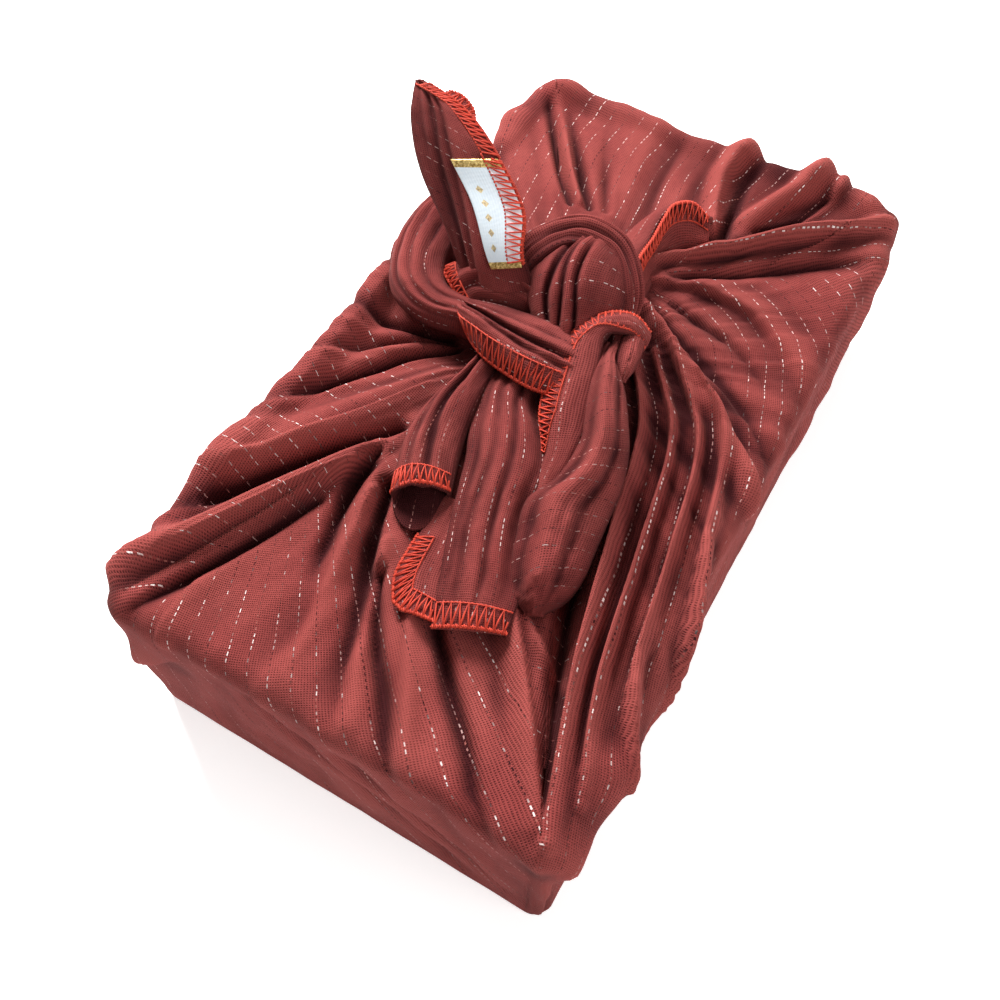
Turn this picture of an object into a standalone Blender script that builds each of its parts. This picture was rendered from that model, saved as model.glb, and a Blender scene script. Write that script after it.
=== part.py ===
"""A furoshiki: one square cloth gathered over a box and knotted on top, with its small woven label."""

import math
from collections import namedtuple

import bmesh
import bpy
import numpy as np

# Sizes in millimetres. X is across the bundle, Y along it, and it rests on Z = 0.
LENGTH, WIDTH, HEIGHT = 255.0, 142.0, 68.5
CORNER = 6.0  # radius of the upright edges
TOP_EDGE = 6.5  # radius of the edge round the top
FOOT_EDGE = 2.5  # radius of the edge round the base
KNOT_X, KNOT_Y = 0.0, 12.0  # where the folds gather
KNOT_RISE = 13.0  # how far the cloth climbs towards the knot
AROUND, TOP_RINGS, SIDE_RINGS, BASE_RINGS = 176, 13, 5, 1
NARROWEST = 5.5  # the least spread of a fold to one side, set by the size of the faces
GAP = 0.3  # between the cloth and the label
LABEL_THICKNESS = 0.8

# The folds, each from the knot outwards. The path is (x, y) on the top, and goes on past the
# top edge by the distance down the side. rise is the height at each point of the path, below
# zero for a hollow, and left and right are how far it spreads to either side at start and end.
Fold = namedtuple("Fold", "path rise left right")
FOLDS = {
    "pleat by the hollow": Fold(
        [(19, 20), (34, -4), (44, -40), (54, -80), (67, -122)], [3, 4, 6, 7, 3], (4, 5), (3, 3)
    ),
    "second pleat": Fold(
        [(24, 23), (42, 0), (52, -40), (60, -80), (70, -110)], [2, 4, 4.5, 4, 2], (4, 5), (3, 3)
    ),
    "third pleat": Fold(
        [(29, 26), (50, 2), (60, -38), (67, -75), (76, -98)], [2, 4, 4, 4, 2], (4, 5), (4, 4)
    ),
    "fourth pleat": Fold(
        [(34, 28), (56, 6), (67, -32), (75, -60), (88, -82)], [2, 3, 4, 3, 1], (5, 7), (4, 4)
    ),
    "hollow": Fold(
        [(37, -52), (43, -68), (50, -86), (58, -104), (65, -119)], [-4, -5, -5, -4, -1], (6, 5), (7, 6)
    ),
    "near side of the hollow": Fold(
        [(26, -70), (38, -84), (50, -100), (63, -118)], [5, 4, 4, 2], (4, 4), (9, 7)
    ),
    "right fan": Fold(
        [(13, 35), (28, 27), (45, 17), (61, 5), (74, -8)], [5, 6, 4, 4, 2], (5, 6), (7, 8)
    ),
    "crease in the right fan": Fold(
        [(10, 40), (26, 32), (42, 26), (56, 19), (68, 9)], [-3, -3, -2, -2, -1], (5, 6), (3, 4)
    ),
    "right ridge": Fold(
        [(7, 46), (24, 54), (42, 56), (58, 49), (72, 37)], [3, 4, 4, 3, 1], (11, 12), (5, 7)
    ),
    "back right band": Fold(
        [(7, 55), (21, 71), (36, 87), (50, 101), (66, 117)], [5, 7, 8, 8, 4], (6, 7), (6, 8)
    ),
    "crease under the band": Fold(
        [(15, 54), (28, 66), (42, 79), (56, 91), (70, 101)], [-3, -4, -4, -3, -1], (4, 5), (6, 7)
    ),
    "first puff": Fold([(17, 82), (11, 99), (9, 114), (14, 129)], [3, 6, 9, 5], (6, 7), (4, 7)),
    "second puff": Fold([(24, 92), (31, 107), (36, 119), (39, 132)], [3, 6, 10, 5], (7, 11), (6, 9)),
    "recess of the puffs": Fold([(21, 82), (18, 96), (14, 109)], [-4, -4, -3], (3, 4), (3, 4)),
    "far corner crease": Fold(
        [(-31, 70), (-43, 85), (-53, 99), (-66, 117)], [-3, -5, -5, -1], (5, 5), (5, 5)
    ),
    "second far crease": Fold(
        [(-24, 71), (-34, 85), (-44, 99), (-54, 113)], [-3, -5, -4, -1], (5, 5), (5, 5)
    ),
    "far soft trough": Fold([(-4, 74), (-9, 94), (-12, 118)], [-2, -3, -2], (8, 12), (8, 12)),
    "left upper crease": Fold(
        [(-30, -6), (-44, -17), (-56, -33), (-67, -50), (-78, -64)], [-3, -4, -4, -3, -1], (5, 5), (5, 5)
    ),
    "left middle band": Fold(
        [(-28, -18), (-42, -37), (-56, -57), (-71, -77), (-84, -92)], [3, 5, 6, 4, 2], (10, 11), (9, 10)
    ),
    "left lower crease": Fold(
        [(-28, -40), (-39, -53), (-52, -71), (-64, -88), (-75, -101)], [-4, -6, -6, -5, -2], (5, 5), (5, 5)
    ),
    "left lower band": Fold(
        [(-30, -49), (-39, -63), (-50, -81), (-60, -99), (-71, -116)], [4, 6, 7, 8, 5], (6, 9), (5, 8)
    ),
    "shadow under the band": Fold(
        [(-36, -72), (-46, -93), (-54, -110), (-61, -125)], [-3, -5, -5, -2], (4, 6), (4, 4)
    ),
    "side fold": Fold([(-38, 6), (-52, 6), (-64, 13), (-76, 22)], [-3, -3, -3, -1], (4, 5), (4, 5)),
    "lower side fold": Fold(
        [(-34, -2), (-48, -4), (-62, -6), (-78, -4)], [-3, -3, -3, -1], (4, 5), (4, 5)
    ),
    "first front trough": Fold([(-30, -50), (-30, -66), (-24, -92)], [-4, -4, -1], (6, 6), (5, 6)),
    "second front trough": Fold(
        [(-24, -58), (-17, -76), (-8, -96), (3, -122)], [-5, -5, -4, -1], (6, 8), (6, 8)
    ),
    "third front trough": Fold(
        [(-10, -84), (0, -98), (12, -112), (26, -134)], [-4, -4, -3, -1], (6, 9), (6, 8)
    ),
    "fourth front trough": Fold(
        [(14, -88), (25, -99), (39, -113), (54, -132)], [-5, -5, -4, -1], (6, 7), (6, 7)
    ),
    "corner layer": Fold([(-104, -117), (-103, -98), (-96, -76)], [4, 3, 1], (5, 5), (20, 20)),
    "front corner layer": Fold([(-66, -158), (-58, -152), (-50, -140)], [4, 3, 1], (18, 18), (5, 5)),
    "back side fold": Fold([(52, 132), (30, 155), (0, 176)], [3, 3, 1], (14, 16), (10, 12)),
    "second back side fold": Fold([(-60, 130), (-38, 150), (-8, 168)], [3, 3, 1], (12, 14), (14, 16)),
    "right side fold": Fold([(76, -98), (96, -78), (118, -50)], [3, 3, 1], (12, 14), (16, 20)),
    "second right side fold": Fold([(74, 100), (94, 76), (118, 40)], [3, 3, 1], (14, 16), (12, 16)),
    "left side fold": Fold([(-74, 100), (-94, 74), (-118, 36)], [3, 3, 1], (12, 16), (14, 16)),
}

# The parts of the knot and the free corners, each a strip lofted between two edges. A row is
# one section: its first edge, its second edge, how far it bows up, and its thickness.
Section = namedtuple("Section", "ax ay az bx by bz bow thick")
STRIPS = {
    "front corner": [
        Section(-10, 0, 84, 10, 2, 84, 4, 6),
        Section(-12, -20, 79, 14, -20, 81, 4, 6),
        Section(-7, -45, 75, 23, -45, 76, 4, 6),
        Section(-3, -66, 73, 31, -65, 74, 4, 5),
        Section(2, -84, 73, 34, -84, 73, 3, 4),
    ],
    "rolled front corner": [
        Section(-20, -8, 82, -7, -6, 83, 4, 8),
        Section(-26, -22, 76, -9, -22, 79, 5, 8),
        Section(-25, -42, 74, -8, -41, 77, 5, 8),
        Section(-18, -60, 74, -4, -54, 77, 4, 7),
        Section(-14, -70, 73, -2, -62, 75, 4, 6),
    ],
    "right front corner": [
        Section(8, 16, 90, 21, 19, 86, 3, 6),
        Section(6, 0, 91, 25, 5, 85, 4, 7),
        Section(8, -17, 87, 28, -14, 82, 5, 8),
        Section(14, -32, 80, 34, -29, 78, 5, 8),
        Section(21, -50, 77, 39, -46, 76, 5, 8),
        Section(27, -64, 76, 43, -60, 75, 5, 8),
        Section(34, -74, 74, 45, -69, 73, 3, 6),
    ],
    "crossing band": [
        Section(-31, 3, 84, -29, -3, 82, 2, 5),
        Section(-20, 4, 88, -17, -11, 84, 4, 7),
        Section(-8, 4, 90, -4, -18, 85, 4, 7),
        Section(5, 4, 90, 9, -22, 84, 4, 7),
        Section(16, 6, 86, 18, -12, 82, 3, 6),
    ],
    "left stub": [
        Section(-46, 11, 82, -30, 1, 82, 3, 5),
        Section(-34, 20, 85, -24, 4, 86, 4, 8),
        Section(-20, 22, 88, -16, 5, 88, 4, 9),
        Section(-6, 19, 88, -8, 6, 88, 3, 8),
    ],
    "left loop": [
        Section(-50, 45, 76, -38, 34, 80, 4, 9),
        Section(-62, 34, 76, -47, 27, 82, 5, 10),
        Section(-66, 17, 75, -50, 17, 82, 5, 10),
        Section(-60, 1, 75, -48, 9, 82, 5, 10),
        Section(-45, -9, 77, -41, 4, 83, 4, 9),
        Section(-29, -9, 80, -30, 4, 84, 3, 8),
    ],
    "pleated middle": [
        Section(-14, 24, 93, 12, 24, 94, 8, 10),
        Section(-14, 12, 93, 15, 14, 94, 9, 11),
        Section(-9, 3, 90, 13, 6, 90, 7, 10),
        Section(-3, -1, 86, 9, 1, 86, 3, 7),
    ],
    "hood": [
        Section(-24, 18, 84, -18, 8, 88, 2, 6),
        Section(-20, 32, 92, -13, 17, 100, 4, 7),
        Section(-9, 41, 94, -4, 25, 103, 4, 7),
        Section(7, 38, 94, 6, 22, 102, 4, 7),
        Section(16, 27, 90, 13, 13, 97, 3, 7),
        Section(20, 16, 82, 17, 6, 86, 2, 6),
    ],
    "back corner": [
        Section(5, 36, 84, 14, 34, 78, 2, 5),
        Section(3, 54, 82, 15, 51, 75, 2, 4),
        Section(3, 70, 80, 17, 64, 74, 2, 4),
        Section(8, 81, 78, 19, 73, 74, 1, 3.5),
    ],
    "raised corner": [
        Section(-36, 12, 84, -12, 12, 92, 2, 5),
        Section(-44, 16, 96, -20, 18, 104, 2, 3.2),
        Section(-54, 25, 106, -30, 26, 112, 2, 2.4),
        Section(-63, 34, 114, -38, 33, 118, 2, 2.4),
        Section(-70, 41, 119, -50, 39, 122, 1.5, 2.4),
        Section(-74, 46, 121, -67, 43, 123, 0.5, 2.2),
    ],
}
# Each strip's points across and along it
STRIP_DIVISIONS = {
    "front corner": (9, 11),
    "rolled front corner": (9, 10),
    "right front corner": (9, 14),
    "crossing band": (8, 9),
    "left stub": (8, 7),
    "left loop": (8, 12),
    "pleated middle": (12, 8),
    "hood": (8, 12),
    "back corner": (7, 8),
    "raised corner": (8, 14),
}
# The label lies along the overlocked edge of the raised corner: its span across and along it
LABEL_ACROSS, LABEL_ALONG = (0.52, 0.97), (1.12, 3.08)

CLOTH_COLOUR = (0.27, 0.055, 0.045, 1)
LABEL_COLOUR = (0.75, 0.79, 0.84, 1)


def clear_scene():
    for thing in list(bpy.data.objects):
        bpy.data.objects.remove(thing)


def material(name, colour, roughness):
    made = bpy.data.materials.new(name)
    made.use_nodes = True
    shader = made.node_tree.nodes["Principled BSDF"]
    shader.inputs["Base Color"].default_value = colour
    shader.inputs["Roughness"].default_value = roughness
    return made


def smooth_rows(rows, steps):
    """The rows' numbers on a smooth curve through them, at evenly spaced steps."""
    table = np.array(rows, float)
    ends = np.vstack([2 * table[0] - table[1], table, 2 * table[-1] - table[-2]])
    at = np.asarray(steps, float)
    first = np.clip(at.astype(int), 0, len(table) - 2)
    part = (at - first)[:, None]
    before, start, end, after = (ends[first + k] for k in range(4))
    return 0.5 * (
        2 * start
        + (end - before) * part
        + (2 * before - 5 * start + 4 * end - after) * part**2
        + (3 * (start - end) + after - before) * part**3
    )


def fold_height(places, fold):
    """How far the fold lifts the cloth at each flat place."""
    steps = np.linspace(0, len(fold.path) - 1, 12 * (len(fold.path) - 1) + 1)
    line = smooth_rows(fold.path, steps)
    rise = np.interp(steps, range(len(fold.path)), fold.rise)
    share = steps / steps[-1]
    starts, runs = line[:-1], np.diff(line, axis=0)
    from_start = places[:, None] - starts
    along = np.clip((from_start * runs).sum(2) / (runs**2).sum(1), 0, 1)
    offset = from_start - along[..., None] * runs
    nearest = np.argmin((offset**2).sum(2), axis=1)
    every = np.arange(len(places))
    offset, run = offset[every, nearest], runs[nearest]
    along = along[every, nearest]
    distance = np.hypot(*offset.T)
    sideways = (run[:, 0] * offset[:, 1] - run[:, 1] * offset[:, 0]) / np.hypot(*run.T)
    leftness = 0.5 + 0.5 * sideways / np.maximum(distance, 1e-6)
    progress = share[nearest] + along * np.diff(share)[nearest]
    left = np.interp(progress, (0, 1), fold.left)
    right = np.interp(progress, (0, 1), fold.right)
    spread = np.maximum(right + (left - right) * leftness, NARROWEST)
    height = rise[nearest] + along * np.diff(rise)[nearest]
    out = np.clip(distance / spread, 0, 1)
    return height * np.cos(out * math.pi / 2) ** 2


def outline(count):
    """Points and outward directions round the bundle, evenly spaced, from above."""
    half_x, half_y = WIDTH / 2 - CORNER, LENGTH / 2 - CORNER
    arc = CORNER * math.pi / 2
    # Each side, from the middle of the near end: where it starts, its way, and its length.
    corners = [(half_x, -half_y, -90), (half_x, half_y, 0), (-half_x, half_y, 90), (-half_x, -half_y, 180)]
    points, ways, walked = [], [], []
    at = half_x
    lengths = [2 * half_y, 2 * half_x, 2 * half_y, half_x]
    points.append((0, -half_y - CORNER))
    ways.append((0, -1))
    walked.append(0)
    for (x, y, start), straight in zip(corners, lengths):
        for step in range(7):
            angle = math.radians(start + 15 * step)
            way = (math.cos(angle), math.sin(angle))
            points.append((x + CORNER * way[0], y + CORNER * way[1]))
            ways.append(way)
            walked.append(at + arc * step / 6)
        at += arc + straight
    points.append(points[0])
    ways.append(ways[0])
    walked.append(at)
    steps = np.linspace(0, at, count, endpoint=False)
    point = np.column_stack([np.interp(steps, walked, axis) for axis in np.transpose(points)])
    way = np.column_stack([np.interp(steps, walked, axis) for axis in np.transpose(ways)])
    return point, way / np.hypot(*way.T)[:, None]


def bundle():
    """The wrapped box: rings from the knot out to the top edge, down the sides and under."""
    edge, way = outline(AROUND)
    knot = np.array([KNOT_X, KNOT_Y])
    inner = edge - way * TOP_EDGE
    foot = edge - way * FOOT_EDGE
    rings, normals, flats = [], [], []
    for share in np.linspace(0, 1, TOP_RINGS + 1)[1:]:
        place = knot + (inner - knot) * share
        lift = KNOT_RISE * (1 - share) ** 2
        rings.append(np.column_stack([place, np.full(AROUND, HEIGHT + lift)]))
        normals.append(np.tile([0.0, 0.0, 1.0], (AROUND, 1)))
        flats.append(place)
    for turn in (math.pi / 6, math.pi / 3):
        place = inner + way * TOP_EDGE * math.sin(turn)
        rings.append(np.column_stack([place, np.full(AROUND, HEIGHT - TOP_EDGE * (1 - math.cos(turn)))]))
        normals.append(np.column_stack([way * math.sin(turn), np.full(AROUND, math.cos(turn))]))
        flats.append(inner + way * TOP_EDGE * turn)
    for level in np.linspace(HEIGHT - TOP_EDGE, FOOT_EDGE, SIDE_RINGS):
        rings.append(np.column_stack([edge, np.full(AROUND, level)]))
        normals.append(np.column_stack([way, np.zeros(AROUND)]))
        flats.append(inner + way * (TOP_EDGE * math.pi / 2 + HEIGHT - TOP_EDGE - level))
    side_end = len(rings)
    for share in np.linspace(1, 0, BASE_RINGS, endpoint=False):
        rings.append(np.column_stack([knot + (foot - knot) * share, np.zeros(AROUND)]))
    points = np.concatenate(rings[:side_end])
    lift = sum(fold_height(np.concatenate(flats), fold) for fold in FOLDS.values())
    lift *= np.clip(points[:, 2] / 12, 0, 1)
    points = points + np.concatenate(normals) * lift[:, None]
    points = np.concatenate([points, *rings[side_end:]])
    faces = []
    for ring in range(len(rings) - 1):
        for k in range(AROUND):
            a, b = ring * AROUND + k, ring * AROUND + (k + 1) % AROUND
            faces.append((a, a + AROUND, b + AROUND, b))
    top, base = len(points), len(points) + 1
    points = np.vstack([points, [*knot, HEIGHT + KNOT_RISE], [*knot, 0]])
    last = (len(rings) - 1) * AROUND
    for k in range(AROUND):
        faces.append((top, k, (k + 1) % AROUND))
        faces.append((base, last + (k + 1) % AROUND, last + k))
    return solid("bundle", points, faces)


def strip_points(rows, across, along):
    """The middle surface of a strip and its upward directions, at shares across and steps along."""
    table = smooth_rows(rows, along)
    first, second = table[:, None, 0:3], table[:, None, 3:6]
    share = np.asarray(across, float)[None, :, None]
    middle = first + (second - first) * share
    ahead = np.gradient(table[:, 0:3] + table[:, 3:6], axis=0)[:, None]
    up = np.cross(second - first, ahead)
    up /= np.linalg.norm(up, axis=2, keepdims=True)
    bow = table[:, 6, None, None] * np.sin(math.pi * share)
    facing = np.sign(up.mean(axis=(0, 1))[2]) * up
    return middle + facing * bow, facing * np.ones_like(share), table[:, 7, None, None]


def strip(name, rows, across, along, edge_thickness=0.45):
    """A closed strip, thickest along its middle."""
    shares, steps = np.linspace(0, 1, across), np.linspace(0, len(rows) - 1, along)
    middle, up, thick = strip_points(rows, shares, steps)
    depth = edge_thickness + (1 - edge_thickness) * np.sin(math.pi * shares)[None, :, None] ** 0.7
    half = up * thick * depth / 2
    return closed_strip(name, middle + half, middle - half)


def closed_strip(name, upper, lower):
    """A closed solid between two sheets of points, with quads round its sides and across its ends."""
    around = np.concatenate([upper, lower[:, ::-1]], axis=1)
    along, count = around.shape[:2]
    faces = [
        (j * count + k, j * count + (k + 1) % count, (j + 1) * count + (k + 1) % count, (j + 1) * count + k)
        for j in range(along - 1)
        for k in range(count)
    ]
    for start, turn in ((0, 1), (count * (along - 1), -1)):
        for k in range(upper.shape[1] - 1):
            faces.append(tuple(start + i for i in (k, count - 1 - k, count - 2 - k, k + 1)[::turn]))
    return solid(name, around.reshape(-1, 3), faces)


def label():
    """The woven label, clear of the raised corner by the gap."""
    rows = STRIPS["raised corner"]
    shares, steps = np.linspace(*LABEL_ACROSS, 5), np.linspace(*LABEL_ALONG, 9)
    middle, up, thick = strip_points(rows, shares, steps)
    depth = 0.45 + 0.55 * np.sin(math.pi * shares)[None, :, None] ** 0.7
    near = middle + up * (thick * depth / 2 + GAP + 0.12)
    return closed_strip("label", near + up * LABEL_THICKNESS, near)


def solid(name, points, faces):
    """A closed mesh object from points in millimetres, facing out."""
    mesh = bpy.data.meshes.new(name)
    mesh.from_pydata((points / 1000).tolist(), [], faces)
    work = bmesh.new()
    work.from_mesh(mesh)
    bmesh.ops.recalc_face_normals(work, faces=work.faces)
    bmesh.ops.triangulate(work, faces=work.faces)
    work.to_mesh(mesh)
    work.free()
    made = bpy.data.objects.new(name, mesh)
    bpy.context.scene.collection.objects.link(made)
    return made


def joined(name, whole, pieces):
    """One solid from the whole and its pieces."""
    for piece in pieces:
        union = whole.modifiers.new("join", "BOOLEAN")
        union.operation, union.solver, union.object = "UNION", "EXACT", piece
    bpy.context.view_layer.update()
    graph = bpy.context.evaluated_depsgraph_get()
    mesh = bpy.data.meshes.new_from_object(whole.evaluated_get(graph))
    made = bpy.data.objects.new(name, mesh)
    bpy.context.scene.collection.objects.link(made)
    for used in (whole, *pieces):
        bpy.data.objects.remove(used)
    return made


clear_scene()
strips = [strip(name, rows, *STRIP_DIVISIONS[name]) for name, rows in STRIPS.items()]
cloth = joined("cloth", bundle(), strips)
cloth.data.materials.append(material("cloth", CLOTH_COLOUR, 0.9))
tag = label()
tag.data.materials.append(material("label", LABEL_COLOUR, 0.6))
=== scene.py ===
import math
from collections import namedtuple

import bmesh
import bpy
import numpy as np
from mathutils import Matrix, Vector, noise


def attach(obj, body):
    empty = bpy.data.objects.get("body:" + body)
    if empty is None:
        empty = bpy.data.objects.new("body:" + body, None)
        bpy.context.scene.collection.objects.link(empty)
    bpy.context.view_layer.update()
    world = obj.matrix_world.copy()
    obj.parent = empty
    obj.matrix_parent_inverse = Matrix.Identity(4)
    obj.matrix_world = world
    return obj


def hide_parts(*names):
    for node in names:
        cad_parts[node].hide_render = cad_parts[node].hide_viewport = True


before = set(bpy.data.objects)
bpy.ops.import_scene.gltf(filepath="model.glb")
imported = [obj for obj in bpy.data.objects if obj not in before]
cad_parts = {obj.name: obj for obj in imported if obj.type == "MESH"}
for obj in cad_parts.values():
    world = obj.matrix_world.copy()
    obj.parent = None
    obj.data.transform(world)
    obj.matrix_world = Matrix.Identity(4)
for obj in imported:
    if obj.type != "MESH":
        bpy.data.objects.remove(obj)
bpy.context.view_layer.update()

# ---------------------------------------------------------------------------------------------
# The view: a camera looking down on one corner of the bundle, from a little over arm's length
# above it, with a plain pale floor and broad soft lamps, as on a light table.
camera_data = bpy.data.cameras.new("camera")
camera_data.sensor_width, camera_data.lens = 36, 37.87
camera = bpy.data.objects.new("camera", camera_data)
camera.location = (0.0884, -0.1811, 0.3257)
camera.rotation_euler = (math.radians(90 - 58.44), 0, math.radians(30.41))
bpy.context.scene.collection.objects.link(camera)
bpy.context.scene.camera = camera

Lamp = namedtuple("Lamp", "place size power")
LAMPS = {
    "window lamp": Lamp((-0.65, 0.45, 0.75), 0.45, 25),
    "near lamp": Lamp((0.8, -0.2, 0.6), 0.6, 5.0),
    "top lamp": Lamp((-0.1, 0.2, 1.3), 0.9, 3),
}
for name, lamp in LAMPS.items():
    light = bpy.data.lights.new(name, "AREA")
    light.size, light.energy = lamp.size, lamp.power
    holder = bpy.data.objects.new(name, light)
    holder.location = lamp.place
    holder.rotation_euler = (-Vector(lamp.place)).to_track_quat("-Z", "Y").to_euler()
    bpy.context.scene.collection.objects.link(holder)

world = bpy.data.worlds.new("studio")
world.use_nodes = True
world.node_tree.nodes["Background"].inputs["Color"].default_value = (1, 1, 1, 1)
world.node_tree.nodes["Background"].inputs["Strength"].default_value = 0.11
bpy.context.scene.world = world
bpy.context.scene.view_settings.view_transform = "Standard"

work = bmesh.new()
bmesh.ops.create_grid(work, x_segments=1, y_segments=1, size=3)
floor_mesh = bpy.data.meshes.new("floor")
work.to_mesh(floor_mesh)
work.free()
floor = bpy.data.objects.new("floor", floor_mesh)
bpy.context.scene.collection.objects.link(floor)
floor_paint = bpy.data.materials.new("floor")
floor_paint.use_nodes = True
floor_inputs = floor_paint.node_tree.nodes["Principled BSDF"].inputs
floor_inputs["Base Color"].default_value = (0.94, 0.94, 0.935, 1)
floor_inputs["Roughness"].default_value = 0.9
floor_inputs["Emission Color"].default_value = (1, 1, 0.995, 1)
floor_inputs["Emission Strength"].default_value = 0.60
floor_mesh.materials.append(floor_paint)


# ---------------------------------------------------------------------------------------------
# The cloth's finish: double cotton gauze, brick red, woven openly enough to show its gaps, with
# a metallic yarn every few millimetres that comes to the face in short dashes. Light is painted
# into its colour too: painted shade in the folds, a painted highlight on crests and a painted
# glint on the dashes.
class Socket:
    """One output of a shader's nodes, with arithmetic on it."""

    def __init__(self, shader, output):
        self.shader, self.output = shader, output

    def maths(self, operation, *values):
        return self.shader.add("ShaderNodeMath", {"operation": operation}, values)

    def __add__(self, other):
        return self.maths("ADD", self, other)

    def __sub__(self, other):
        return self.maths("SUBTRACT", self, other)

    def __rsub__(self, other):
        return self.maths("SUBTRACT", other, self)

    def __mul__(self, other):
        return self.maths("MULTIPLY", self, other)

    def __truediv__(self, other):
        return self.maths("DIVIDE", self, other)

    def __lt__(self, other):
        return self.maths("LESS_THAN", self, other)

    def __gt__(self, other):
        return self.maths("GREATER_THAN", self, other)

    def __abs__(self):
        return self.maths("ABSOLUTE", self)

    def floor(self):
        return self.maths("FLOOR", self)

    def fraction(self):
        return self.maths("FRACT", self)

    def sine(self):
        return self.maths("SINE", self)

    def most(self, other):
        return self.maths("MAXIMUM", self, other)

    __radd__, __rmul__ = __add__, __mul__


class Shader:
    """A material and the means to add nodes to it."""

    def __init__(self, name, **constants):
        self.material = bpy.data.materials.new(name)
        self.material.use_nodes = True
        self.tree = self.material.node_tree
        self.surface = self.tree.nodes["Principled BSDF"]
        for socket, value in constants.items():
            self.surface.inputs[socket.replace("_", " ")].default_value = value

    def join(self, value, socket):
        if isinstance(value, Socket):
            self.tree.links.new(value.output, socket)
        else:
            socket.default_value = value

    def add(self, kind, settings=(), values=(), output=0):
        node = self.tree.nodes.new(kind)
        for setting, value in dict(settings).items():
            if setting == "stops":
                ramp = node.color_ramp.elements
                while len(ramp) < len(value):
                    ramp.new(0.5)
                for stop, (place, colour) in zip(ramp, value):
                    stop.position, stop.color = place, (*colour, 1)
            else:
                setattr(node, setting, value)
        pairs = values.items() if isinstance(values, dict) else enumerate(values)
        for socket, value in pairs:
            self.join(value, node.inputs[socket])
        return Socket(self, node.outputs[output])

    def mix(self, share, first, second):
        first, second = (c if isinstance(c, Socket) else (*c, 1) for c in (first, second))
        values = {0: share, 6: first, 7: second}
        return self.add("ShaderNodeMix", {"data_type": "RGBA"}, values, output=2)

    def across(self, share, low, high):
        """The share of the way from low to high, held between 0 and 1."""
        return self.add("ShaderNodeMapRange", {}, (share, low, high, 0.0, 1.0))

    def noise(self, place, scale, detail=2.0, roughness=0.5):
        values = {"Vector": place, "Scale": scale, "Detail": detail, "Roughness": roughness}
        return self.add("ShaderNodeTexNoise", {}, values)


THREAD_PITCH = 0.62  # mm between threads
STRIPE_PITCH = 5.4  # mm between metallic yarns
DASH_PITCH = 1.8  # mm from one dash to the next
CLOTH_RED, CLOTH_GAP = (0.250, 0.044, 0.040), (0.030, 0.004, 0.006)
# Painted light: the darkest red below is painted shade for the folds, and the crest red is a painted
# highlight on crests. The worn red is the cloth's own faded tone.
CLOTH_WORN, CLOTH_PAINTED_SHADE = (0.32, 0.066, 0.058), (0.018, 0.002, 0.004)
CLOTH_PAINTED_HIGHLIGHT = (0.40, 0.085, 0.072)
# The bright dash colour is a painted glint, the metallic yarn's reflection put into the base colour. The
# dull one is the yarn where no glint is painted.
DASH_GLINT, DASH_DULL = (1.0, 0.88, 0.84), (0.035, 0.008, 0.010)


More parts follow.
